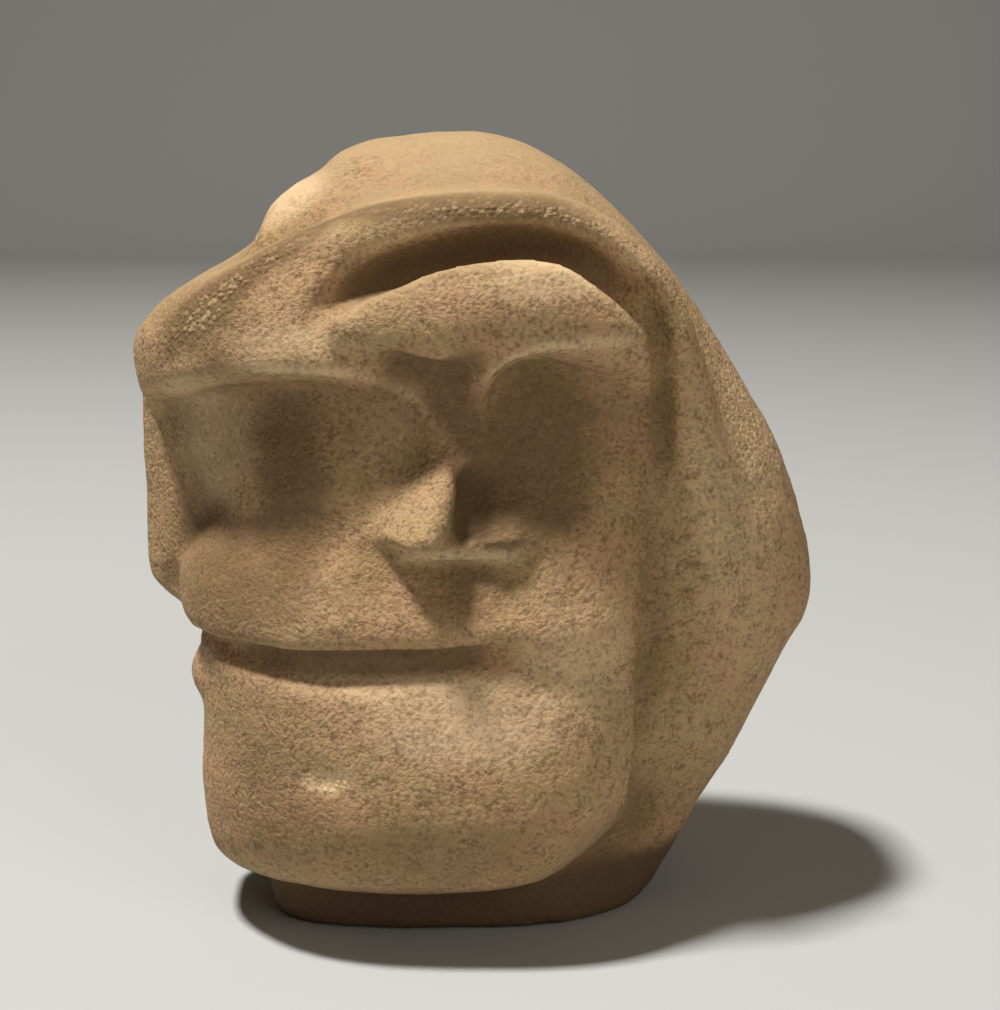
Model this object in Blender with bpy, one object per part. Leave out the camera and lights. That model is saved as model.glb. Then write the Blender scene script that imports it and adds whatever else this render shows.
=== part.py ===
"""Two-faced sandstone figurine, carved from one flattened pebble and standing on its own cut foot.

The broad front carries one face under a rolled hood. The narrow left edge carries the second face.
They share the eye hollow between their noses and one mouth that runs round the corner.

The stone is described by signed distance, below zero inside it. Three upright columns make the pebble,
the face and the brow, lines add rolls and cut grooves, and wedges make the noses. Rays from the stone's
upright axis find the surface. Metres, +Z up, front towards -Y, origin under the middle of its box.
"""

import math

import bpy
import numpy as np
from mathutils import Matrix

# Overall sizes of the stone, without the tip of the front nose.
HEIGHT = 0.080
WIDTH = 0.0705
THICKNESS = 0.046

# How far from a meeting line one carved form starts to run into the next.
FOOT_BLEND = 0.0016
FACE_BLEND = 0.0020
BROW_BLEND = 0.0012
BROW_EDGE = 0.0008
ROLL_BLEND = 0.0040
STEM_BLEND = 0.0030
KNOB_BLEND = 0.0030
LIP_BLEND = 0.0020
NOSE_BLEND = 0.0016
NOSE_RIDGE = 0.0024
NOSE_EDGE = 0.0016
NOSE_SEAT = 0.0040
GROOVE_EDGE = 0.0014
MOUTH_EDGE = 0.0010
TEMPLE_EDGE = 0.0016
FAR_EYE_EDGE = 0.0024

# Half thickness of the rolls and half width of the grooves, where they are full.
CREST_RADIUS = 0.0032
FOREHEAD_RADIUS = 0.0046
KNOB_RADIUS = 0.0032
LIP_RADIUS = 0.0023
GROOVE_RADIUS = 0.0021
MOUTH_RADIUS = 0.0016
TEMPLE_RADIUS = 0.0034
FAR_EYE_RADIUS = 0.0060

# The mesh: rays in a turn, rings up the side and over the crown, the even mesh's step, how many times it
# is settled on the surface, and the faces kept at the end.
RAYS = 180
SIDE_RINGS = 120
CROWN_RINGS = 28
FAN_UP = 0.862
EVEN_STEP = 0.0007
SETTLINGS = 4
FACES_KEPT = 9400

STONE_COLOUR = (0.36, 0.25, 0.14, 1.0)
STONE_ROUGHNESS = 0.92

# A column: its axis as shares of half the width and thickness, how square its section is to the left and
# to the right, and its reach each way as (share of the height, share of half the width or thickness).
PEBBLE = {
    "axis": (-0.04, 0.08),
    "squareness": (2.1, 2.6),
    "left": (
        (0.03, 0.52), (0.06, 0.56), (0.30, 0.70), (0.52, 0.72), (0.70, 0.86),
        (0.7175, 0.93), (0.745, 0.94), (0.78, 0.885), (0.82, 0.775), (0.857, 0.66), (0.88, 0.607),
        (0.905, 0.59), (0.93, 0.536), (0.951, 0.448), (0.97, 0.40), (0.989, 0.30), (1.0, 0.043),
    ),
    "right": (
        (0.03, 0.545), (0.09, 0.635), (0.215, 0.785), (0.34, 0.925),
        (0.385, 0.985), (0.415, 1.0), (0.45, 0.993), (0.523, 0.953), (0.603, 0.89), (0.682, 0.787),
        (0.76, 0.677), (0.837, 0.552), (0.913, 0.387), (0.97, 0.217), (1.0, -0.043),
    ),
    "front": (
        (0.03, 0.50), (0.065, 0.55), (0.15, 0.63), (0.30, 0.68), (0.45, 0.69),
        (0.65, 0.69), (0.80, 0.66), (0.88, 0.60), (0.92, 0.52), (0.96, 0.37), (0.985, 0.20), (1.0, -0.08),
    ),
    "back": (
        (0.03, 0.60), (0.10, 0.74), (0.25, 0.93), (0.40, 1.0), (0.60, 0.96),
        (0.75, 0.84), (0.86, 0.66), (0.93, 0.49), (0.98, 0.28), (1.0, 0.08),
    ),
}
FOOT = {
    "axis": (-0.02, 0.0),
    "squareness": (4.0, 2.4),
    "left": ((0.0, 0.59), (0.006, 0.61), (0.03, 0.615), (0.10, 0.62)),
    "right": ((0.0, 0.48), (0.006, 0.51), (0.03, 0.55), (0.10, 0.63)),
    "front": ((0.0, 0.55), (0.006, 0.57), (0.03, 0.58), (0.10, 0.58)),
    "back": ((0.0, 0.55), (0.006, 0.57), (0.03, 0.60), (0.10, 0.72)),
}
FACE = {
    "axis": (-0.12, -0.05),
    "squareness": (2.4, 3.4),
    "left": (
        (0.062, 0.0), (0.068, 0.68), (0.080, 0.76), (0.10, 0.79), (0.138, 0.803), (0.188, 0.81),
        (0.245, 0.80), (0.30, 0.80), (0.35, 0.805), (0.38, 0.825), (0.41, 0.86), (0.44, 0.865), (0.48, 0.83),
        (0.52, 0.77), (0.57, 0.71), (0.64, 0.68), (0.72, 0.67), (0.78, 0.0),
    ),
    "right": (
        (0.062, 0.0), (0.080, 0.22), (0.10, 0.33), (0.14, 0.43), (0.20, 0.49), (0.275, 0.515), (0.375, 0.52),
        (0.56, 0.52), (0.72, 0.51), (0.78, 0.0),
    ),
    "front": (
        (0.062, 0.0), (0.070, 0.70), (0.082, 0.84), (0.105, 0.95), (0.14, 1.015), (0.20, 1.045),
        (0.28, 1.015), (0.37, 0.955), (0.40, 0.980), (0.42, 0.978), (0.45, 0.940), (0.48, 0.895), (0.52, 0.845),
        (0.56, 0.80), (0.61, 0.75), (0.68, 0.70), (0.74, 0.66), (0.78, 0.0),
    ),
    "back": (
        (0.062, 0.0), (0.080, 0.25), (0.12, 0.42), (0.20, 0.60), (0.30, 0.68), (0.44, 0.72), (0.60, 0.62),
        (0.72, 0.58), (0.78, 0.0),
    ),
}
BROW = {
    "axis": (-0.12, 0.0),
    "squareness": (2.3, 3.4),
    "left": (
        (0.60, 0.94), (0.685, 0.97), (0.7175, 0.975), (0.745, 0.965), (0.78, 0.905), (0.82, 0.79),
        (0.85, 0.60), (0.88, 0.0),
    ),
    "right": ((0.60, 0.50), (0.70, 0.50), (0.78, 0.49), (0.82, 0.42), (0.85, 0.30), (0.88, 0.0)),
    "front": (
        (0.60, 0.75), (0.65, 0.80), (0.70, 0.875), (0.74, 0.91), (0.78, 0.90), (0.82, 0.83), (0.86, 0.66),
        (0.88, 0.0),
    ),
    "back": ((0.60, 0.50), (0.72, 0.60), (0.80, 0.56), (0.85, 0.40), (0.88, 0.0)),
}

# Each eye hollow is bounded above by the brow's underside and on its inner side by the stem that comes
# down between the hollows to the nose. Both are planes through three places.
HOLLOWS = (
    (
        ((-0.794, -0.800, 0.722), (-0.284, -0.870, 0.721), (-0.539, -0.487, 0.691)),
        ((-0.247, -0.870, 0.715), (-0.071, -0.774, 0.628), (-0.298, -0.522, 0.695)),
    ),
    (
        ((0.085, -0.887, 0.750), (0.482, -0.826, 0.758), (0.255, -0.513, 0.720)),
        ((-0.006, -0.765, 0.630), (0.062, -0.887, 0.738), (0.108, -0.522, 0.733)),
    ),
)

# Noses as the root and the tip of the ridge and the feet of the left and right flank.
NOSES = (
    ((-0.020, -0.800, 0.660), (-0.135, -1.170, 0.517), (-0.285, -0.870, 0.522), (0.010, -0.850, 0.520)),
    ((0.024, -0.735, 0.608), (0.078, -1.030, 0.517), (-0.140, -0.885, 0.517), (0.180, -0.886, 0.517)),
    ((-1.020, 0.160, 0.740), (-1.024, 0.200, 0.412), (-0.600, 0.680, 0.340), (-0.701, -0.300, 0.350)),
)

# Lines of the carving as (across, deep, up, size): the first three are shares of half the width, half the
# thickness and the height, and size is the share of the line's full radius.
CREST_LINE = (
    (-0.891, -0.109, 0.733, 0.50),
    (-0.783, -0.348, 0.765, 0.80),
    (-0.652, -0.500, 0.799, 0.95),
    (-0.468, -0.600, 0.840, 1.00),
    (-0.193, -0.635, 0.879, 1.00),
    (0.074, -0.630, 0.893, 1.00),
    (0.233, -0.617, 0.884, 1.00),
    (0.363, -0.600, 0.850, 1.00),
    (0.460, -0.583, 0.807, 0.95),
    (0.533, -0.565, 0.756, 0.80),
    (0.596, -0.539, 0.675, 0.60),
    (0.638, -0.522, 0.562, 0.40),
    (0.652, -0.522, 0.450, 0.20),
)
FOREHEAD_LINE = (
    (-0.30, -0.66, 0.752, 0.60), (-0.19, -0.70, 0.775, 0.85), (-0.06, -0.71, 0.798, 1.0),
    (0.10, -0.70, 0.812, 1.0), (0.22, -0.68, 0.812, 1.0), (0.34, -0.66, 0.785, 0.9), (0.43, -0.64, 0.755, 0.7),
)
KNOB_LINE = (
    (-0.548, -0.261, 0.863, 0.75),
    (-0.491, -0.174, 0.885, 0.90),
    (-0.340, -0.130, 0.916, 0.90),
)
GROOVE_LINE = (
    (-0.323, -0.904, 0.720, 0.10),
    (-0.380, -0.909, 0.753, 0.45),
    (-0.420, -0.865, 0.782, 0.55),
    (-0.352, -0.813, 0.811, 0.75),
    (-0.247, -0.774, 0.835, 0.95),
    (-0.113, -0.748, 0.854, 1.00),
    (0.020, -0.735, 0.863, 1.00),
    (0.153, -0.730, 0.865, 1.00),
    (0.264, -0.730, 0.855, 1.00),
    (0.366, -0.730, 0.830, 1.00),
    (0.445, -0.722, 0.800, 0.95),
    (0.499, -0.713, 0.770, 0.85),
    (0.516, -0.696, 0.713, 0.65),
    (0.511, -0.678, 0.613, 0.55),
    (0.505, -0.678, 0.500, 0.55),
    (0.494, -0.674, 0.388, 0.55),
    (0.471, -0.665, 0.287, 0.55),
    (0.414, -0.648, 0.194, 0.50),
    (0.312, -0.630, 0.138, 0.40),
)
MOUTH_LINE = (
    (0.159, -0.983, 0.408, 0.00),
    (0.102, -0.983, 0.395, 0.50),
    (0.020, -0.974, 0.386, 0.80),
    (-0.196, -0.957, 0.378, 1.00),
    (-0.386, -0.922, 0.372, 1.05),
    (-0.505, -0.857, 0.371, 1.00),
    (-0.624, -0.739, 0.374, 0.85),
    (-0.732, -0.530, 0.379, 0.60),
    (-0.811, -0.217, 0.379, 0.50),
    (-0.828, 0.087, 0.375, 0.50),
    (-0.777, 0.391, 0.372, 0.50),
    (-0.635, 0.674, 0.372, 0.00),
)
TEMPLE_LINE = (
    (-0.300, -0.900, 0.735, 0.50),
    (-0.235, -0.900, 0.708, 0.90),
    (-0.150, -0.905, 0.695, 1.00),
    (-0.060, -0.905, 0.690, 1.00),
    (-0.010, -0.890, 0.662, 0.80),
    (-0.005, -0.870, 0.635, 0.40),
)
FAR_EYE_LINE = (
    (-0.95, 0.46, 0.665, 0.70),
    (-0.87, 0.56, 0.610, 1.00),
    (-0.80, 0.64, 0.530, 0.90),
    (-0.74, 0.70, 0.460, 0.50),
)
LIP_LINE = (
    (-0.698, -0.457, 0.320, 0.40),
    (-0.769, -0.196, 0.312, 1.00),
    (-0.777, 0.130, 0.307, 1.00),
    (-0.726, 0.435, 0.310, 0.40),
)


def place(across, deep, up):
    """A point in metres from its shares of half the width, half the thickness and the height."""
    return np.array((across * WIDTH / 2, deep * THICKNESS / 2, up * HEIGHT))


def soft_min(a, b, radius):
    """The lower of two distances, rounded where they come within the radius of each other."""
    overlap = np.clip(radius - np.abs(a - b), 0.0, None)
    return np.minimum(a, b) - overlap * overlap / (4 * radius)


def soft_max(a, b, radius):
    """The higher of two distances, rounded where they come within the radius of each other."""
    return -soft_min(-a, -b, radius)


def curve_through(knots, up):
    """Reads a profile at heights given as shares, along a curve that never overshoots its knots. Heights
    are measured by the root of the depth below the crown, so that a profile ends there as a dome."""
    height, reach = np.array(knots, float).T
    x = 1 - np.sqrt(1 - height)
    at = np.clip(1 - np.sqrt(np.clip(1 - up, 0.0, 1.0)), x[0], x[-1])
    rise = np.diff(reach) / np.diff(x)
    turn = rise[:-1] * rise[1:]
    between = np.where(turn > 0, 2 * turn / (rise[:-1] + rise[1:] + 1e-12), 0.0)
    slope = np.concatenate(([rise[0]], between, [rise[-1]]))
    i = np.clip(np.searchsorted(x, at) - 1, 0, len(x) - 2)
    span = x[i + 1] - x[i]
    t = (at - x[i]) / span
    start = reach[i] + t * t * (3 - 2 * t) * (reach[i + 1] - reach[i])
    return start + span * t * (1 - t) * (slope[i] * (1 - t) - slope[i + 1] * t)


def column_distance(points, column):
    """Distance to an upright column whose reach to the left, right, front and back follows its profiles."""
    up = points[:, 2] / HEIGHT
    across = points[:, 0] / (WIDTH / 2) - column["axis"][0]
    deep = points[:, 1] / (THICKNESS / 2) - column["axis"][1]
    leftward, forward = across < 0, deep < 0
    reach_across = np.where(
        leftward,
        curve_through(column["left"], up) + column["axis"][0],
        curve_through(column["right"], up) - column["axis"][0],
    )
    reach_deep = np.where(
        forward,
        curve_through(column["front"], up) + column["axis"][1],
        curve_through(column["back"], up) - column["axis"][1],
    )
    reach_across, reach_deep = np.maximum(reach_across, 0.002), np.maximum(reach_deep, 0.002)
    power = np.where(leftward, *column["squareness"])
    a, d = np.abs(across) / reach_across, np.abs(deep) / reach_deep
    ratio = (a**power + d**power + 1e-12) ** (1 / power)
    # Dividing by how fast the ratio grows outwards turns it into a distance.
    growth_across = (a / ratio) ** (power - 1) / (reach_across * WIDTH / 2)
    growth_deep = (d / ratio) ** (power - 1) / (reach_deep * THICKNESS / 2)
    growth = np.hypot(growth_across, growth_deep)
    away = (ratio - 1) / np.maximum(growth, 1e-9)
    top, foot = column["front"][-1][0], column["front"][0][0]
    return np.maximum(away, np.maximum(up - top, foot - up) * HEIGHT)


def smooth_line(line):
    """The line with two points more between each two of its own, on a curve through them all."""
    knots = np.array(line)
    ends = np.vstack((2 * knots[0] - knots[1], knots, 2 * knots[-1] - knots[-2]))
    curve = []
    for a, b, c, d in zip(ends, ends[1:], ends[2:], ends[3:]):
        for t in (0, 1 / 3, 2 / 3):
            curve.append(b + t * (c - a + t * (2 * a - 5 * b + 4 * c - d + t * (3 * b - a - 3 * c + d))) / 2)
    return np.array(curve + [knots[-1]])


def line_distance(points, line, radius):
    """Distance to a roll along a line of places, whose radius follows the sizes given with them. Points
    that are far from the whole line are left at the margin's distance."""
    knots = smooth_line(line)
    places = np.array([place(*knot[:3]) for knot in knots])
    margin = 2.5 * radius
    near = np.all((points > places.min(axis=0) - margin) & (points < places.max(axis=0) + margin), axis=1)
    close = points[near]
    best = np.full(len(close), margin)
    for a, b, size, next_size in zip(places, places[1:], knots[:, 3], knots[1:, 3]):
        t = np.clip((close - a) @ (b - a) / ((b - a) @ (b - a)), 0.0, 1.0)
        away = np.linalg.norm(close - a - t[:, None] * (b - a), axis=1)
        best = np.minimum(best, away - radius * (size + t * (next_size - size)))
    distance = np.full(len(points), margin)
    distance[near] = best
    return distance


def plane_distance(points, a, b, c):
    """Distance above a plane through three places, on the side from which they run anticlockwise."""
    a, b, c = place(*a), place(*b), place(*c)
    normal = np.cross(b - a, c - a)
    return (points - a) @ (normal / np.linalg.norm(normal))


def nose_distance(points, root, tip, left_foot, right_foot):
    """Distance to a wedge with two flanks that meet in its ridge, an underside and a seat in the stone."""
    left = plane_distance(points, root, left_foot, tip)
    right = plane_distance(points, root, tip, right_foot)
    under = plane_distance(points, tip, left_foot, right_foot)
    below = (*left_foot[:2], 0.0)
    seat = plane_distance(points, left_foot, right_foot, below) - NOSE_SEAT
    top = points[:, 2] - root[2] * HEIGHT
    return np.maximum(soft_max(soft_max(left, right, NOSE_RIDGE), under, NOSE_EDGE), np.maximum(seat, top))


def stone_distance(points):
    """Distance from the surface of the carved stone, below zero inside it."""
    brow = column_distance(points, BROW)
    for underside, stem in HOLLOWS:
        hollow = soft_max(plane_distance(points, *underside), plane_distance(points, *stem), STEM_BLEND)
        brow = soft_max(brow, -hollow, BROW_EDGE)
    stone = soft_min(column_distance(points, PEBBLE), column_distance(points, FOOT), FOOT_BLEND)
    stone = soft_min(stone, column_distance(points, FACE), FACE_BLEND)
    stone = soft_min(stone, brow, BROW_BLEND)
    for line, radius, blend in (
        (CREST_LINE, CREST_RADIUS, ROLL_BLEND),
        (FOREHEAD_LINE, FOREHEAD_RADIUS, ROLL_BLEND),
        (KNOB_LINE, KNOB_RADIUS, KNOB_BLEND),
        (LIP_LINE, LIP_RADIUS, LIP_BLEND),
    ):
        stone = soft_min(stone, line_distance(points, line, radius), blend)
    for nose in NOSES:
        stone = soft_min(stone, nose_distance(points, *nose), NOSE_BLEND)
    for line, radius, edge in (
        (GROOVE_LINE, GROOVE_RADIUS, GROOVE_EDGE),
        (MOUTH_LINE, MOUTH_RADIUS, MOUTH_EDGE),
        (TEMPLE_LINE, TEMPLE_RADIUS, TEMPLE_EDGE),
        (FAR_EYE_LINE, FAR_EYE_RADIUS, FAR_EYE_EDGE),
    ):
        stone = soft_max(stone, -line_distance(points, line, radius), edge)
    return stone


def surface_points():
    """Where rays from the upright axis leave the stone, ring by ring from the foot to the crown."""
    side = np.linspace(0.0, FAN_UP, SIDE_RINGS)
    lift = np.linspace(0.0, math.pi / 2, CROWN_RINGS + 1)[1:-1]
    height = np.concatenate((side, np.full(len(lift), FAN_UP))) * HEIGHT
    lift = np.concatenate((np.zeros(len(side)), lift))
    turn = np.linspace(0.0, 2 * math.pi, RAYS, endpoint=False)
    way = np.stack(
        (
            np.outer(np.cos(lift), np.sin(turn)),
            np.outer(np.cos(lift), -np.cos(turn)),
            np.outer(np.sin(lift), np.ones(RAYS)),
        ),
        axis=-1,
    ).reshape(-1, 3)
    start = np.zeros_like(way)
    start[:, 0] = PEBBLE["axis"][0] * WIDTH / 2
    start[:, 2] = np.repeat(height, RAYS)
    stride = 0.6 * WIDTH / 24
    inner = np.zeros(len(way))
    for reach in np.arange(24, 0, -1) * stride:
        found = (inner == 0.0) & (stone_distance(start + way * reach) < 0)
        inner[found] = reach
    outer = inner + stride
    for _ in range(14):
        middle = (inner + outer) / 2
        inside = stone_distance(start + way * middle[:, None]) < 0
        inner, outer = np.where(inside, middle, inner), np.where(inside, outer, middle)
    return start + way * inner[:, None], len(lift)


def step_to_stone(points):
    """The moves that bring points onto the stone's surface, judged by how the distance grows around them."""
    reach = EVEN_STEP / 20
    sides = np.eye(3) * reach
    growth = np.stack([stone_distance(points + side) - stone_distance(points - side) for side in sides], axis=1)
    growth /= 2 * reach
    steepness = np.maximum((growth**2).sum(axis=1, keepdims=True), 0.25)
    return np.clip(-stone_distance(points)[:, None] * growth / steepness, -EVEN_STEP, EVEN_STEP)


def settle(mesh):
    """Evens out the vertices of a mesh and puts them back on the stone, above the foot's flat underside."""
    count = len(mesh.vertices)
    points = np.empty(count * 3)
    mesh.vertices.foreach_get("co", points)
    points = points.reshape(-1, 3)
    pairs = np.empty(len(mesh.edges) * 2, int)
    mesh.edges.foreach_get("vertices", pairs)
    pairs = pairs.reshape(-1, 2)
    start, end = np.concatenate((pairs, pairs[:, ::-1])).T
    neighbours = np.bincount(start, minlength=count)[:, None]
    above = points[:, 2] > EVEN_STEP / 2
    points[~above, 2] = 0.0
    for _ in range(SETTLINGS):
        middle = np.stack([np.bincount(start, points[end, i], count) for i in range(3)], axis=1) / neighbours
        points[above] = (points[above] + middle[above]) / 2
        for _ in range(2):
            points[above] += step_to_stone(points[above])
    mesh.vertices.foreach_set("co", points.ravel())
    mesh.update()


def apply_modifiers(figurine):
    """Keeps what the object's modifiers make of it."""
    bpy.context.view_layer.objects.active = figurine
    for modifier in list(figurine.modifiers):
        bpy.ops.object.modifier_apply(modifier=modifier.name)


def stand_over_origin(figurine):
    """Moves the mesh sideways until its box is centred over the origin."""
    corners = np.array([corner[:] for corner in figurine.bound_box])
    middle = (corners.min(axis=0) + corners.max(axis=0)) / 2
    figurine.data.transform(Matrix.Translation((-middle[0], -middle[1], 0.0)))


def sandstone():
    """The stone's plain finish."""
    material = bpy.data.materials.new("sandstone")
    material.use_nodes = True
    shader = material.node_tree.nodes["Principled BSDF"]
    shader.inputs["Base Color"].default_value = STONE_COLOUR
    shader.inputs["Roughness"].default_value = STONE_ROUGHNESS
    return material


def build_figurine():
    """The whole figurine: rays give its first mesh, which is then made even, settled and thinned out."""
    points, rings = surface_points()
    ray = np.arange(RAYS)
    beside = (ray + 1) % RAYS
    faces = []
    for ring in range(rings - 1):
        low, high = ring * RAYS, (ring + 1) * RAYS
        faces += np.stack((low + ray, low + beside, high + beside, high + ray), axis=1).tolist()
    last = (rings - 1) * RAYS
    crown = points[last:].mean(axis=0)
    crown[2] = points[last:, 2].max()
    faces += [(last + a, last + b, len(points)) for a, b in zip(ray, beside)]
    faces.append(ray[::-1].tolist())
    mesh = bpy.data.meshes.new("figurine")
    mesh.from_pydata(np.vstack((points, crown)).tolist(), [], faces)
    figurine = bpy.data.objects.new("figurine", mesh)
    bpy.context.scene.collection.objects.link(figurine)
    even = figurine.modifiers.new("even", "REMESH")
    even.mode = "VOXEL"
    even.voxel_size = EVEN_STEP
    apply_modifiers(figurine)
    settle(figurine.data)
    fewer = figurine.modifiers.new("fewer", "DECIMATE")
    fewer.ratio = FACES_KEPT / (2 * len(figurine.data.polygons))
    apply_modifiers(figurine)
    stand_over_origin(figurine)
    figurine.data.polygons.foreach_set("use_smooth", [True] * len(figurine.data.polygons))
    figurine.data.materials.append(sandstone())


for old in list(bpy.data.objects):
    bpy.data.objects.remove(old)
build_figurine()
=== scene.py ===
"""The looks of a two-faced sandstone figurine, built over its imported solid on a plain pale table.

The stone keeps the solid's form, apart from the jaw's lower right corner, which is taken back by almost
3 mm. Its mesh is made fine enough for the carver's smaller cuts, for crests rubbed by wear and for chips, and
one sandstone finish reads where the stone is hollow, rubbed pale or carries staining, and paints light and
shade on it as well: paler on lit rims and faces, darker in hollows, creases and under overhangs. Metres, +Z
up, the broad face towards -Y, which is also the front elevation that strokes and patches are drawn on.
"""

import logging
import math
from dataclasses import dataclass, field
from enum import Enum

import bpy
import numpy as np
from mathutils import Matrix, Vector
from mathutils.bvhtree import BVHTree


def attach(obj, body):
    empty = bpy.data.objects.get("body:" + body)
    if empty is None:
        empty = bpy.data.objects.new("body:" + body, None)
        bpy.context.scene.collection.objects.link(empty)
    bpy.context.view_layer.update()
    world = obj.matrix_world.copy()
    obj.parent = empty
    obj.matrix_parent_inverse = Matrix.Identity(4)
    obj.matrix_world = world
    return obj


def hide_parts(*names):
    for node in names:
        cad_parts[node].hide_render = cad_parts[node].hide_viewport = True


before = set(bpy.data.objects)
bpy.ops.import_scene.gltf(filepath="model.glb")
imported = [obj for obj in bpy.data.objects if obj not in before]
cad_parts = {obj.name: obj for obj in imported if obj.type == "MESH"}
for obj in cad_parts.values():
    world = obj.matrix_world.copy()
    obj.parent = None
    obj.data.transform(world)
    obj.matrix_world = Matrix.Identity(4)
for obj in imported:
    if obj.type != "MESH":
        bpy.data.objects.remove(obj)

MM = 0.001
log = logging.getLogger("figurine")

Path = tuple[tuple[float, float], ...]


class Tool(Enum):
    """The mark that a tool leaves across its stroke, as the share of the stroke's depth that stands out."""

    GOUGE = -1.0
    BEAD = 1.0
    TINT = 0.0


@dataclass(frozen=True)
class Stroke:
    """One pass of a tool over the stone.

    Args:
        name: What the stroke makes.
        tool: The mark it leaves: a channel, a ridge, or no more than its mask.
        width: Half of the mark's width, in millimetres.
        depth: How far it cuts or stands, in millimetres.
        path: Places on the front elevation as (across, up) in millimetres.
        mask: The vertex mask it also paints.
        amount: How much it paints at its middle.
    """

    name: str
    tool: Tool
    width: float
    depth: float
    path: Path
    mask: str
    amount: float


@dataclass(frozen=True)
class Patch:
    """A soft-edged oval of the surface that is rubbed pale, swollen or sunk, or that holds another tone,
    painted light and shade among them.

    Args:
        name: What the patch is.
        centre: Its middle on the front elevation as (across, up) in millimetres.
        reach: Half its length and half its breadth, in millimetres.
        turn: How far its length is turned anticlockwise on the elevation, in degrees.
        push: How far its middle stands out, in millimetres; below zero it is sunk.
        masks: How much it adds to each mask, by name.
    """

    name: str
    centre: tuple[float, float]
    reach: tuple[float, float]
    turn: float = 0.0
    push: float = 0.0
    masks: tuple[tuple[str, float], ...] = ()


class Shade:
    """A shader socket that Python expressions work on."""

    tree: bpy.types.NodeTree

    def __init__(self, socket: bpy.types.NodeSocket) -> None:
        """Keeps the socket."""
        self.socket = socket

    @classmethod
    def node(cls, kind: str, settings: dict | None = None, out: int | str = 0, **values: object) -> "Shade":
        """Adds any node.

        Args:
            kind: The node's type.
            settings: What is set on the node before its sockets.
            out: The output that is wanted.
            **values: Values or links by socket name, with spaces as underscores, or by number as _0, _1.

        Returns:
            The wanted output.
        """
        made = cls.tree.nodes.new(kind)
        for key, value in (settings or {}).items():
            setattr(made, key, value)
        for key, value in values.items():
            name = int(key[1:]) if key[0] == "_" and key[1:].isdigit() else key.replace("_", " ")
            socket = made.inputs[name]
            if isinstance(value, Shade):
                cls.tree.links.new(value.socket, socket)
            else:
                socket.default_value = value
        return cls(made.outputs[out])

    def _maths(self, operation: str, other: object) -> "Shade":
        """A Math node on this number and another."""
        return Shade.node("ShaderNodeMath", {"operation": operation}, _0=self, _1=other)

    def __add__(self, other: object) -> "Shade":
        """Sum."""
        return self._maths("ADD", other)

    def __sub__(self, other: object) -> "Shade":
        """Difference."""
        return self._maths("SUBTRACT", other)

    def __rsub__(self, other: object) -> "Shade":
        """Difference from a number."""
        return Shade.node("ShaderNodeMath", {"operation": "SUBTRACT"}, _0=other, _1=self)

    def __mul__(self, other: object) -> "Shade":
        """Product."""
        return self._maths("MULTIPLY", other)

    __radd__ = __add__

    def ease(self, low: float, high: float) -> "Shade":
        """A smooth step from 0 at low to 1 at high."""
        settings = {"interpolation_type": "SMOOTHSTEP"}
        return Shade.node("ShaderNodeMapRange", settings, Value=self, From_Min=low, From_Max=high)

    def toward(self, other: object, share: object) -> "Shade":
        """This colour mixed towards another by a share."""
        return Shade.node("ShaderNodeMix", {"data_type": "RGBA"}, out=2, _0=share, _6=self, _7=other)


def tone(red: float, green: float, blue: float) -> tuple[float, float, float, float]:
    """A colour from its linear red, green and blue."""
    return (red, green, blue, 1.0)


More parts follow.
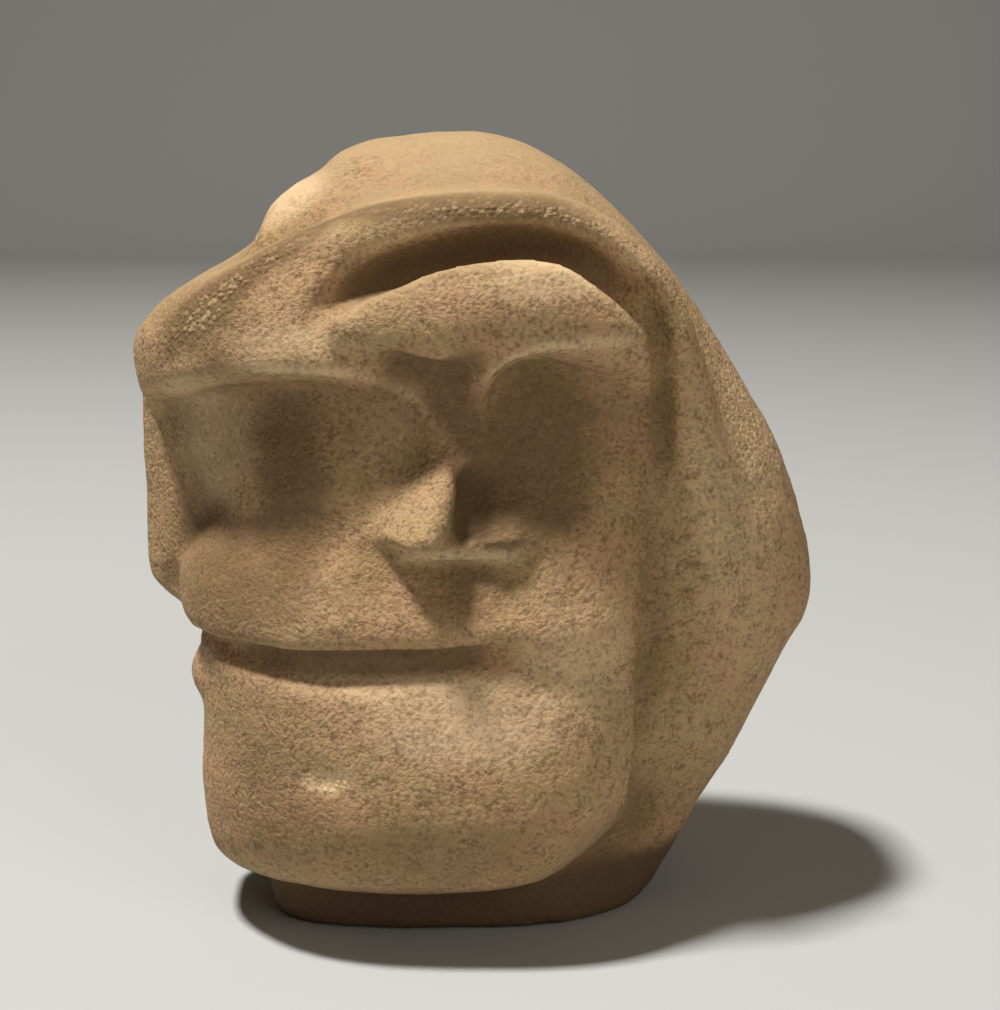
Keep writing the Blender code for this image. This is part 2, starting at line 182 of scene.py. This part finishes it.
@dataclass(frozen=True)
class Sandstone:
    """The finish of the stone: fine quartz grains in a brown binding, rubbed pale where it is handled, with
    painted light and painted shade.

    Colours are linear. The sizes of the patterns and of a grain, and the depth between grains, are in metres.
    """

    body: tuple = tone(0.43, 0.285, 0.150)
    warm: tuple = tone(0.46, 0.28, 0.150)
    ochre: tuple = tone(0.40, 0.275, 0.120)
    # Patina of the hollows, also used as painted shade in hollows, creases, groove, mouth and under the nose.
    patina_and_shade: tuple = tone(0.170, 0.106, 0.048)
    # Rubbed pale for wear and chips, also used as painted light on lit rims, ridges, chin, lips, forehead and
    # right side.
    pale: tuple = tone(0.66, 0.47, 0.275)
    # Painted shade: the upturned crown is tinted a little darker than the body to tone down its light.
    crown: tuple = tone(0.37, 0.262, 0.132)
    # Staining on the foot, also used as painted shade on the nose's right flank and the groove's bottom.
    stain_and_shade: tuple = tone(0.10, 0.062, 0.032)
    quartz: tuple = tone(0.68, 0.48, 0.25)
    iron: tuple = tone(0.14, 0.082, 0.038)
    broad_size: float = 0.016
    patch_size: float = 0.0050
    mottle_size: float = 0.0017
    fine_size: float = 0.00040
    grain: float = 0.00052
    relief: float = 0.00027
    roughness: float = 0.88
    gloss: float = 0.25

    def material(self) -> bpy.types.Material:
        """The node material, read from Object coordinates and the stone's own masks."""
        made = bpy.data.materials.new("sandstone")
        made.use_nodes = True
        Shade.tree = made.node_tree
        shader = made.node_tree.nodes["Principled BSDF"]
        place = Shade.node("ShaderNodeTexCoord", out="Object")

        def noise(size: float, detail: float = 2.0, rough: float = 0.55) -> Shade:
            """Fractal noise with patches of that size, from 0 to 1."""
            return Shade.node(
                "ShaderNodeTexNoise", Vector=place, Scale=1 / size, Detail=detail, Roughness=rough
            )

        def mask(name: str) -> Shade:
            """One of the masks painted on the mesh."""
            return Shade.node("ShaderNodeAttribute", {"attribute_name": name}, out="Fac")

        # The hollow and staining masks also paint shade, and the pale-rubbing mask also paints light.
        hollow, wear_and_light, gritty, stained_and_shaded, smooth = map(mask, ("hollow", "wear_and_light", "gritty", "stained_and_shaded", "smooth"))
        broad, patch = noise(self.broad_size, 1.0), noise(self.patch_size)
        mottle, fine = noise(self.mottle_size, 4.0, 0.78), noise(self.fine_size, 1.0)
        cells = Shade.node("ShaderNodeTexVoronoi", Vector=place, Scale=1 / self.grain)
        picks = Shade(cells.socket.node.outputs["Color"])
        pick = Shade.node("ShaderNodeSeparateColor", Color=picks, out="Red")
        rough = 1 - smooth.ease(0.2, 0.9) * 0.7
        grit, pale = gritty.ease(0.0, 1.0), (wear_and_light + (patch - 0.5) * 0.4).ease(0.0, 1.0)
        # Patina, crest dirt and painted shade, from the hollow mask broken up by noise.
        soil_and_shade = (hollow + (mottle - 0.5) * 0.9 + (patch - 0.5) * 0.4).ease(-0.05, 1.0)

        colour = Shade.node("ShaderNodeRGB")
        colour.socket.default_value = self.body
        colour = colour.toward(self.warm, broad.ease(0.40, 0.58))
        colour = colour.toward(self.ochre, patch.ease(0.48, 0.62) * 0.7)
        # Painted shade: the upturned crown is tinted darker than the body.
        colour = colour.toward(self.crown, smooth.ease(0.1, 0.8) * (0.35 + patch.ease(0.36, 0.58) * 0.65))
        # Wear and painted light: rubbed pale.
        colour = colour.toward(self.pale, pale)
        # Patina and painted shade: dark olive brown.
        colour = colour.toward(self.patina_and_shade, soil_and_shade * 0.85)
        speck = 1.0 - mottle * 0.6 - fine * 0.5 - pick * 0.12
        colour = colour.toward(self.iron, speck.ease(0.30, 0.62) * (0.80 - pale * 0.25 + grit * 0.15) * rough)
        # Pale quartz grains, fewer under the patina and painted shade.
        bright = (pick + grit * 0.22).ease(0.80, 0.99) * (0.10 + grit * 0.50) * rough * (1 - soil_and_shade * 0.5)
        colour = colour.toward(self.quartz, bright)
        # Staining on the foot and painted shade on the nose's flank and the groove's bottom.
        colour = colour.toward(self.stain_and_shade, stained_and_shaded)
        made.node_tree.links.new(colour.socket, shader.inputs["Base Color"])

        grains = (1 - cells) * pick
        height = mottle * 1.1 + fine * 0.65 + grains * (0.35 + grit * 2.2)
        height = height * rough * (1 - pale * 0.45)
        bump = Shade.node("ShaderNodeBump", out="Normal", Strength=1.0, Distance=self.relief, Height=height)
        made.node_tree.links.new(bump.socket, shader.inputs["Normal"])
        shader.inputs["Roughness"].default_value = self.roughness
        shader.inputs["Specular IOR Level"].default_value = self.gloss
        return made


@dataclass(frozen=True)
class PaleCloth:
    """The finish of the plain table."""

    colour: tuple = tone(0.46, 0.475, 0.475)
    roughness: float = 0.95

    def material(self) -> bpy.types.Material:
        """A plain matt finish."""
        made = bpy.data.materials.new("pale_table")
        made.use_nodes = True
        shader = made.node_tree.nodes["Principled BSDF"]
        shader.inputs["Base Color"].default_value = self.colour
        shader.inputs["Roughness"].default_value = self.roughness
        return made


def only(piece: bpy.types.Object) -> None:
    """Selects one object alone and makes it active."""
    bpy.ops.object.select_all(action="DESELECT")
    piece.select_set(True)
    bpy.context.view_layer.objects.active = piece


@dataclass(frozen=True)
class Unevenness:
    """One scale of the surface's unevenness.

    Args:
        name: What it is.
        size: The size of its bumps, in millimetres.
        depth: How far they rise and sink in all, in millimetres.
    """

    name: str
    size: float
    depth: float


@dataclass
class Stone:
    """The carved stone, a finer copy of its solid.

    Sizes are in metres. Rounds say how many times values are averaged with their neighbours'. The stone is
    hollow where its surface after a few rounds lies inside its surface after many, and there it takes patina
    and painted shade; it is rubbed pale where it stands out. Strokes and patches paint further light and
    shade.
    """

    node: str = "figurine"
    body: str = "root"
    slot: str = "sandstone"
    fineness: float = 0.47 * MM
    weld: float = 0.01 * MM
    subdivisions: int = 2
    smoothing: float = 0.5
    smoothing_rounds: int = 3
    knot_steps: int = 12
    viewpoint: float = 0.1
    patch_rounds: int = 20
    stroke_rounds: int = 3
    stroke_reach: float = 4 * MM
    near_rounds: int = 60
    far_rounds: int = 700
    sunk_rounds: int = 30
    facing_rounds: int = 6
    hollow_depth: float = 1.1 * MM
    worn_height: float = 2.0 * MM
    crown_foot: float = 0.052
    crown_fade: float = 0.018
    stain_top: float = 0.0078
    stain_fade: float = 0.0022
    strokes: tuple[Stroke, ...] = ()
    patches: tuple[Patch, ...] = ()
    weathering: tuple[Unevenness, ...] = ()
    piece: bpy.types.Object = field(init=False)

    def build(self) -> bpy.types.Object:
        """Makes the finished piece and returns it."""
        self.copy_solid()
        self.refine()
        self.shape_patches()
        self.carve()
        self.weather()
        self.paint_masks()
        self.dress()
        return self.piece

    def copy_solid(self) -> None:
        """Takes a copy of the solid, with its loose triangles welded."""
        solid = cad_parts[self.node]
        mesh = solid.data.copy()
        mesh.materials.clear()
        self.piece = bpy.data.objects.new("carved_stone", mesh)
        bpy.context.scene.collection.objects.link(self.piece)
        only(self.piece)
        bpy.ops.object.mode_set(mode="EDIT")
        bpy.ops.mesh.select_all(action="SELECT")
        bpy.ops.mesh.remove_doubles(threshold=self.weld)
        bpy.ops.mesh.normals_make_consistent(inside=False)
        bpy.ops.object.mode_set(mode="OBJECT")

    def modify(self, kind: str, **settings: object) -> None:
        """Adds a modifier and applies it."""
        modifier = self.piece.modifiers.new(kind.lower(), kind)
        for name, value in settings.items():
            setattr(modifier, name, value)
        only(self.piece)
        bpy.ops.object.modifier_apply(modifier=modifier.name)

    def refine(self) -> None:
        """Rounds the solid's facets and gives it an even fine mesh."""
        self.modify("SUBSURF", levels=self.subdivisions, render_levels=self.subdivisions)
        self.modify("REMESH", mode="VOXEL", voxel_size=self.fineness)
        self.modify("SMOOTH", factor=self.smoothing, iterations=self.smoothing_rounds)

    def points(self) -> np.ndarray:
        """The mesh's points."""
        found = np.empty(len(self.piece.data.vertices) * 3, np.float32)
        self.piece.data.vertices.foreach_get("co", found)
        return found.reshape(-1, 3).astype(float)

    def normals(self) -> np.ndarray:
        """The mesh's outward directions, point by point."""
        found = np.empty(len(self.piece.data.vertices) * 3, np.float32)
        self.piece.data.vertex_normals.foreach_get("vector", found)
        return found.reshape(-1, 3).astype(float)

    def move_to(self, points: np.ndarray) -> None:
        """Puts the mesh's points elsewhere, never below the table."""
        points[:, 2] = np.maximum(points[:, 2], 0.0)
        self.piece.data.vertices.foreach_set("co", points.astype(np.float32).ravel())
        self.piece.data.update()

    def mask(self, name: str, values: np.ndarray | None = None) -> np.ndarray:
        """Reads a mask from the mesh, or writes it if values are given."""
        attributes = self.piece.data.attributes
        layer = attributes.get(name) or attributes.new(name, "FLOAT", "POINT")
        if values is not None:
            layer.data.foreach_set("value", values.astype(np.float32))
        found = np.empty(len(self.piece.data.vertices), np.float32)
        layer.data.foreach_get("value", found)
        return found

    def add(self, name: str, amount: np.ndarray) -> None:
        """Adds an amount to a mask."""
        self.mask(name, self.mask(name) + amount)

    def averaged(self, values: np.ndarray, rounds: int) -> np.ndarray:
        """Values on the points, spread over their neighbours so many rounds."""
        pairs = np.empty(len(self.piece.data.edges) * 2, np.int32)
        self.piece.data.edges.foreach_get("vertices", pairs)
        a, b = pairs.reshape(-1, 2).T
        start, end = np.concatenate((a, b)), np.concatenate((b, a))
        count = len(values)
        around = np.maximum(np.bincount(start, minlength=count), 1)
        columns = values.reshape(count, -1).T.copy()
        for _ in range(rounds):
            for i, column in enumerate(columns):
                columns[i] = (column + np.bincount(start, column[end], count) / around) / 2
        return columns.T.reshape(values.shape)

    def laid_on(self, stroke: Stroke, tree: BVHTree) -> np.ndarray:
        """The stroke's path laid on the stone from the front, as closely spaced places on a smooth curve.

        Args:
            stroke: The stroke.
            tree: The stone's surface.

        Returns:
            Places in metres.
        """
        knots = np.array(stroke.path, float) * MM
        ends = np.vstack((2 * knots[0] - knots[1], knots, 2 * knots[-1] - knots[-2]))
        drawn = []
        for a, b, c, d in zip(ends, ends[1:], ends[2:], ends[3:]):
            for t in np.linspace(0.0, 1.0, self.knot_steps, endpoint=False):
                bend = 2 * a - 5 * b + 4 * c - d + t * (3 * b - a - 3 * c + d)
                drawn.append(b + t * (c - a + t * bend) / 2)
        drawn.append(knots[-1])
        places = []
        for side, up in drawn:
            found, *_ = tree.ray_cast(Vector((side, -self.viewpoint, up)), Vector((0, 1, 0)))
            if found is not None:
                places.append(found)
        return np.array(places)

    def within(self, patch: Patch, points: np.ndarray, normals: np.ndarray) -> np.ndarray:
        """How far inside a patch each point is, from 0 at its edge to 1 at its middle, on the front only."""
        aside = points[:, 0] - patch.centre[0] * MM
        above = points[:, 2] - patch.centre[1] * MM
        turn = math.radians(patch.turn)
        along = (aside * math.cos(turn) + above * math.sin(turn)) / (patch.reach[0] * MM)
        over = (above * math.cos(turn) - aside * math.sin(turn)) / (patch.reach[1] * MM)
        inside = np.clip(1 - along**2 - over**2, 0, 1) ** 1.5
        facing = np.clip(0.3 - normals[:, 1], 0, 0.5) * 2
        return inside * facing

    def shape_patches(self) -> None:
        """Swells or sinks the broad patches."""
        points, normals = self.points(), self.averaged(self.normals(), self.patch_rounds)
        for patch in self.patches:
            if patch.push:
                points[:, 1] -= self.within(patch, points, normals) * patch.push * MM
        self.move_to(points)

    def carve(self) -> None:
        """Runs every stroke over the stone in its order."""
        points, normals = self.points(), self.averaged(self.normals(), self.stroke_rounds)
        triangles = [polygon.vertices[:] for polygon in self.piece.data.polygons]
        tree = BVHTree.FromPolygons(points.tolist(), triangles)
        cut = np.zeros(len(points))
        for stroke in self.strokes:
            places = self.laid_on(stroke, tree)
            if len(places) < 2:
                log.warning("stroke %s misses the stone", stroke.name)
                continue
            gap, share = self.beside(points, places)
            aside = gap / (stroke.width * MM)
            mark = np.clip(1 - aside**2, 0, 1) ** 2 * stroke.tool.value
            fade = np.clip(np.minimum(share, 1 - share) * 6, 0, 1)
            cut += mark * fade * stroke.depth * MM
            self.add(stroke.mask, np.clip(1.2 - aside, 0, 1) * fade * stroke.amount)
        self.move_to(points + normals * cut[:, None])

    def beside(self, points: np.ndarray, places: np.ndarray) -> tuple[np.ndarray, np.ndarray]:
        """Where points are beside a path.

        Args:
            points: The points.
            places: The path.

        Returns:
            How far each point is from the path, one metre where it is out of reach, and the share of the
            path's length that it lies along.
        """
        lowest = places.min(axis=0) - self.stroke_reach
        highest = places.max(axis=0) + self.stroke_reach
        near = np.all((points > lowest) & (points < highest), axis=1)
        close, away = points[near], np.full(len(points), 1.0)
        best, share = np.full(len(close), 1.0), np.zeros(len(close))
        lengths = np.linalg.norm(np.diff(places, axis=0), axis=1)
        marks = np.concatenate(([0.0], np.cumsum(lengths)))
        for a, b, low, length in zip(places, places[1:], marks, lengths):
            along = (b - a) / max(length, 1e-9)
            t = np.clip((close - a) @ along, 0.0, length)
            off = close - a - t[:, None] * along
            gap = np.linalg.norm(off, axis=1)
            better = gap < best
            best = np.where(better, gap, best)
            share = np.where(better, (low + t) / marks[-1], share)
        shares = np.zeros(len(points))
        away[near], shares[near] = best, share
        return away, shares

    def weather(self) -> None:
        """Gives the dressed surface its slight unevenness, pecked dabs and coarse grain."""
        for layer in self.weathering:
            pattern = bpy.data.textures.new(layer.name, "CLOUDS")
            pattern.noise_scale, pattern.noise_depth = layer.size * MM, 2
            strength = layer.depth * MM
            self.modify("DISPLACE", texture=pattern, strength=strength, mid_level=0.5, texture_coords="LOCAL")
        self.move_to(self.points())

    def paint_masks(self) -> None:
        """Paints patina and painted shade in hollows, wear, the foot's staining, the crown's painted shade,
        and the patches' masks.
        """
        points, normals = self.points(), self.normals()
        near, far = self.averaged(points, self.near_rounds), self.averaged(points, self.far_rounds)
        sunk = np.einsum("ij,ij->i", far - near, self.averaged(normals, self.sunk_rounds))
        up = points[:, 2]
        facing_up = np.clip(self.averaged(normals, self.facing_rounds)[:, 2], 0, 1)
        crown = np.clip((up - self.crown_foot) / self.crown_fade, 0, 1)
        # Patina and painted shade in the hollows.
        self.add("hollow", np.clip(sunk / self.hollow_depth, 0, 0.5))
        # The upturned crown: smooth grain and painted shade.
        self.add("smooth", np.clip(facing_up * 1.25 - 0.30, 0, 1) * crown)
        self.add("wear_and_light", np.clip(-sunk / self.worn_height, 0, 0.25))
        self.add("stained_and_shaded", np.clip((self.stain_top - up) / self.stain_fade, 0, 1) * 0.9)
        # The patches paint grit, chips, painted light and painted shade onto their places.
        for patch in self.patches:
            for name, amount in patch.masks:
                self.add(name, amount * self.within(patch, points, normals))

    def dress(self) -> None:
        """Gives the piece its finish and ties it to the frame."""
        self.piece.data.materials.append(Sandstone().material())
        only(self.piece)
        bpy.ops.object.shade_smooth()
        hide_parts(self.node)
        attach(self.piece, self.body)


@dataclass(frozen=True)
class Lamp:
    """One soft light, aimed at the stone.

    Args:
        name: Its name.
        place: Where it stands, in metres.
        size: The side of its square, in metres.
        power: In watts.
        colour: Linear red, green and blue.
    """

    name: str
    place: tuple[float, float, float]
    size: float
    power: float
    colour: tuple[float, float, float]


@dataclass
class Studio:
    """The plain table, its lights and the camera."""

    aim: tuple[float, float, float] = (0.0, 0.0, 0.040)
    lamps: tuple[Lamp, ...] = (
        Lamp("key", (-0.29, -0.12, 1.00), 0.12, 14.9, (1.0, 0.97, 0.92)),
        Lamp("fill", (0.38, -0.52, 0.36), 0.30, 1.00, (1.0, 0.93, 0.82)),
    )
    air: tuple = tone(0.50, 0.40, 0.29)
    air_strength: float = 0.16
    table_width: float = 3.0
    sweep_height: float = 0.9
    sweep_radius: float = 0.35
    sweep_segments: int = 12
    eye: tuple[float, float, float] = (0.0025, -0.1991, 0.0791)
    pitch: float = 10.6
    lens: float = 69.5
    sensor: float = 36.0
    near_clip: float = 0.001

    def build(self) -> None:
        """Sets everything up."""
        self.table()
        for lamp in self.lamps:
            self.light(lamp)
        self.surroundings()
        self.camera()

    def table(self) -> None:
        """The pale table, curved up behind the stone as a studio sweep."""
        bpy.ops.mesh.primitive_plane_add(size=self.table_width, location=(0, 0, 0))
        table = bpy.context.object
        table.name = "table"
        bpy.ops.object.mode_set(mode="EDIT")
        bpy.ops.mesh.select_mode(type="EDGE")
        bpy.ops.mesh.select_all(action="DESELECT")
        bpy.ops.object.mode_set(mode="OBJECT")
        for edge in table.data.edges:
            edge.select = all(table.data.vertices[i].co.y > 0 for i in edge.vertices)
        bpy.ops.object.mode_set(mode="EDIT")
        bpy.ops.mesh.extrude_region_move(TRANSFORM_OT_translate={"value": (0, 0, self.sweep_height)})
        bpy.ops.object.mode_set(mode="OBJECT")
        bevel = table.modifiers.new("sweep", "BEVEL")
        bevel.width, bevel.segments, bevel.limit_method = self.sweep_radius, self.sweep_segments, "ANGLE"
        only(table)
        bpy.ops.object.modifier_apply(modifier=bevel.name)
        bpy.ops.object.shade_smooth()
        table.data.materials.append(PaleCloth().material())

    def light(self, lamp: Lamp) -> None:
        """One area light aimed at the stone."""
        bpy.ops.object.light_add(type="AREA", location=lamp.place)
        made = bpy.context.object
        made.name = lamp.name
        made.data.energy, made.data.size, made.data.color = lamp.power, lamp.size, lamp.colour
        toward = Vector(self.aim) - Vector(lamp.place)
        made.rotation_euler = toward.to_track_quat("-Z", "Y").to_euler()

    def surroundings(self) -> None:
        """A dim even air around the table."""
        world = bpy.data.worlds.new("air")
        world.use_nodes = True
        back = world.node_tree.nodes["Background"]
        back.inputs["Color"].default_value = self.air
        back.inputs["Strength"].default_value = self.air_strength
        bpy.context.scene.world = world
        bpy.context.scene.view_settings.view_transform = "Standard"

    def camera(self) -> None:
        """The camera at the photograph's place."""
        turn = (math.radians(90 - self.pitch), 0, 0)
        bpy.ops.object.camera_add(location=self.eye, rotation=turn)
        made = bpy.context.object
        made.data.lens, made.data.sensor_width = self.lens, self.sensor
        made.data.clip_start = self.near_clip
        bpy.context.scene.camera = made


CREST = (
    (-31.5, 58.5), (-28, 61.5), (-22, 66.5), (-14, 71.5), (-6.8, 73.0), (2.6, 73.2), (9, 72.2), (14, 68.5),
)
STROKES = (
    Stroke(
        "soil along the crest", Tool.TINT, 2.6, 0.0,
        CREST,
        mask="hollow", amount=1.0,
    ),
    Stroke(
        "grit along the crest", Tool.TINT, 1.5, 0.0,
        CREST,
        mask="gritty", amount=0.9,
    ),
    # Painted light: the rim under the brow is painted pale.
    Stroke(
        "rim of the left hollow", Tool.BEAD, 0.75, 0.14,
        ((-25, 58.3), (-21, 58.3), (-12.7, 57.8), (-8.2, 56.6), (-4.9, 54.4), (-2.6, 50.6)),
        mask="wear_and_light", amount=0.7,
    ),
    # Painted light: the rim under the brow is painted pale.
    Stroke(
        "rim of the right hollow", Tool.BEAD, 0.75, 0.14,
        ((0.4, 56.4), (3.0, 58.9), (5.3, 59.8), (7.6, 60.4), (11.8, 60.7), (16.0, 60.5)),
        mask="wear_and_light", amount=0.6,
    ),
    # Painted light: the nose's lower rim is painted pale.
    Stroke(
        "lower rim of the nose", Tool.BEAD, 1.3, 0.65,
        ((-8.5, 40.6), (-5.0, 40.7), (-2.2, 40.8), (4.8, 40.7)),
        mask="wear_and_light", amount=0.7,
    ),
    # Painted shade under the forehead roll.
    Stroke(
        "under the forehead", Tool.GOUGE, 2.4, 0.55,
        ((-9.0, 59.8), (-5.4, 58.6), (-2.0, 58.0), (2.0, 60.0)),
        mask="hollow", amount=0.8,
    ),
    # Painted shade on the bridge between the eyes, under the forehead roll.
    Stroke(
        "between the eyes", Tool.TINT, 2.2, 0.0,
        ((-3.2, 57.5), (-2.0, 54.5), (-1.2, 51.5), (-0.8, 49.5)),
        mask="hollow", amount=0.6,
    ),
    # Painted shade on the nose's right flank.
    Stroke(
        "right of the nose", Tool.GOUGE, 3.6, 0.7,
        ((0.4, 49.5), (1.2, 46.5), (1.0, 43.5), (0.4, 41.6)),
        mask="hollow", amount=1.1,
    ),
    # Painted shade on the nose's right flank, under its ridge.
    Stroke(
        "flank under the ridge", Tool.GOUGE, 2.7, 0.85,
        ((-0.6, 49.5), (-0.1, 46.5), (-0.3, 43.5), (-0.8, 41.0)),
        mask="stained_and_shaded", amount=0.7,
    ),
    # Painted light on the strip under the hood's crest.
    Stroke(
        "lit strip of the hood", Tool.TINT, 1.3, 0.0,
        ((-12, 67.5), (-8, 69.5), (-3, 71.0), (3, 71.7), (9, 71.0), (13, 69.0)),
        mask="wear_and_light", amount=0.5,
    ),
    # Painted shade in the bottom of the groove under the hood.
    Stroke(
        "bottom of the groove", Tool.TINT, 1.5, 0.0,
        ((-12, 65.0), (-8.7, 66.8), (-4.0, 68.3), (0.7, 69.0), (5.4, 69.2), (9.3, 68.4), (12.9, 66.4)),
        mask="stained_and_shaded", amount=0.75,
    ),
    # Painted shade in the groove under the hood.
    Stroke(
        "painted shade in the groove", Tool.TINT, 2.0, 0.0,
        (
            (-14, 64.5), (-12, 65.0), (-8.7, 66.8), (-4.0, 68.3), (0.7, 69.0), (5.4, 69.2), (9.3, 68.4),
            (12.9, 66.4), (15.7, 64.0),
        ),
        mask="hollow", amount=0.95,
    ),
    # Painted shade in the line of the mouth.
    Stroke(
        "line of the mouth", Tool.GOUGE, 0.9, 0.45,
        ((-22, 30.9), (-17, 30.9), (-7, 31.3), (0, 31.9), (4, 32.6)),
        mask="hollow", amount=0.4,
    ),
    # Painted shade in the crease beside the face.
    Stroke(
        "crease beside the face", Tool.GOUGE, 1.5, 0.6,
        ((15.2, 65.0), (17.0, 62.3), (17.8, 58.0), (18.1, 54.5), (18.3, 46)),
        mask="hollow", amount=0.5,
    ),
    # Painted shade in the mouth.
    Stroke(
        "painted shade in the mouth", Tool.TINT, 1.7, 0.0,
        ((-23, 30.0), (-17, 30.0), (-7, 30.5), (0, 31.0), (4, 32.0)),
        mask="hollow", amount=0.8,
    ),
)

PATCHES = (
    # Painted light on the chin.
    Patch("chin", (-0.5, 25.0), (12, 5.5), masks=(("wear_and_light", 0.85),)),
    # Painted light on the lower lip.
    Patch("lower lip", (-8.0, 28.6), (14, 2.4), masks=(("wear_and_light", 0.8),)),
    # Painted light on the forehead roll.
    Patch("forehead roll", (8.5, 67.0), (10, 3.0), 5, masks=(("wear_and_light", 0.85),)),
    # Painted shade at the forehead roll's left end.
    Patch("forehead roll's left end", (-7.0, 64.0), (5, 3), 25, masks=(("hollow", 0.2),)),
    # Painted light on the inner side of the left hollow.
    Patch("inner side of the left hollow", (-8.5, 51.0), (4.5, 5), masks=(("wear_and_light", 0.6),)),
    # Paints the knob pale.
    Patch("knob", (-18.0, 73.5), (5, 2.5), 35, masks=(("wear_and_light", 0.7),)),
    # Painted light and grit on the right edge.
    Patch("right edge", (26.0, 44.0), (8, 22), masks=(("wear_and_light", 0.35), ("gritty", 0.45))),
    # Painted light and grit on the right jaw.
    Patch("right jaw", (10.0, 30.5), (7, 7), masks=(("wear_and_light", 0.50), ("gritty", 0.35))),
    # Painted light on the outer side of the left hollow, which lies in shadow.
    Patch("outer side of the left hollow", (-24.5, 50.0), (5.0, 9), masks=(("wear_and_light", 0.85),)),
    # Painted light beside the second nose.
    Patch("beside the second nose", (-27.5, 50.5), (4.5, 10), push=1.1, masks=(("wear_and_light", 0.8),)),
    Patch("outer corner of the left hollow", (-24.3, 45.3), (4.0, 3.5), push=0.8),
    # Painted shade on the floor of the left hollow, under the brow.
    Patch("floor of the left hollow", (-17.4, 46.3), (5.6, 10.5), 4, masks=(("hollow", 1.10),)),
    # Paints the band above the left hollow pale.
    Patch("above the left hollow", (-18.0, 60.6), (8, 2.2), masks=(("wear_and_light", 0.6),)),
    # Darkens the right of the upper lip.
    Patch("right of the upper lip", (9.0, 36.5), (6, 4), masks=(("hollow", 0.30),)),
    # Painted shade at the foot of the right hollow.
    Patch("foot of the right hollow", (7.0, 44.0), (6, 4), masks=(("hollow", 0.45),)),
    # Painted shade on the wing of the nose.
    Patch("wing of the nose", (2.4, 44.5), (3.2, 4.5), masks=(("hollow", 0.8),)),
    # Painted shadow of the nose on the lip.
    Patch("shadowed lip", (-0.3, 37.2), (6.5, 4.0), masks=(("hollow", 0.75),)),
    Patch("slope of the left cheek", (-18.5, 41.5), (11, 4.0), push=-1.0),
    Patch("foot of the left hollow", (-16.5, 48.0), (9.5, 4.5), push=0.8),
    # Painted shade on the floor of the right hollow, under the brow.
    Patch("floor of the right hollow", (6.0, 49.0), (8.5, 10.5), masks=(("hollow", 1.0),)),
    # Darkens the left cheek.
    Patch("left cheek", (-23.5, 37.0), (10, 8), push=-0.8, masks=(("hollow", 0.95),)),
    # Darkens the middle of the cheek.
    Patch("middle of the cheek", (-12.0, 38.0), (10, 6), masks=(("hollow", 0.32),)),
    # Darkens the left of the hood.
    Patch("left of the hood", (-25.5, 61.0), (8, 8), -50, masks=(("hollow", 0.6),)),
    # Darkens the left of the chin.
    Patch("left of the chin", (-20.0, 19.0), (9, 13), masks=(("hollow", 0.55),)),
    # Painted shade under the chin.
    Patch("under the chin", (-1.5, 11.5), (22, 8), masks=(("hollow", 0.5),)),
    Patch("jaw's lower corner", (16.5, 9.5), (12, 9), 50, push=-3.2),
    Patch(
        "chips on the chin", (-14.0, 19.0), (3.0, 1.5), 5, push=-0.35,
        masks=(("gritty", 1.3), ("wear_and_light", 1.0), ("hollow", -0.8)),
    ),
    Patch(
        "ochre on the crown", (-11.5, 76.0), (3.6, 1.6), 30, push=-0.45,
        masks=(("hollow", 0.15), ("smooth", -0.4)),
    ),
    Patch(
        "chips at the hood's left end", (-25.5, 62.5), (3.5, 1.6), 45,
        masks=(("gritty", 0.8), ("wear_and_light", 0.5)),
    ),
    # Painted shade on the facet at the left edge.
    Patch("facet on the left edge", (-32.0, 34.0), (2.4, 2.6), push=-0.35, masks=(("hollow", 0.9),)),
)

WEATHERING = (Unevenness("swell", 11.0, 0.50), Unevenness("dabs", 3.2, 0.17), Unevenness("grain", 0.9, 0.075))


def main() -> None:
    """Builds the studio and the stone."""
    logging.basicConfig(level=logging.INFO, format="%(message)s")
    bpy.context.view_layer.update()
    Studio().build()
    stone = Stone(strokes=STROKES, patches=PATCHES, weathering=WEATHERING).build()
    log.info("%s: %d faces", stone.name, len(stone.data.polygons))


if __name__ == "__main__":
    main()
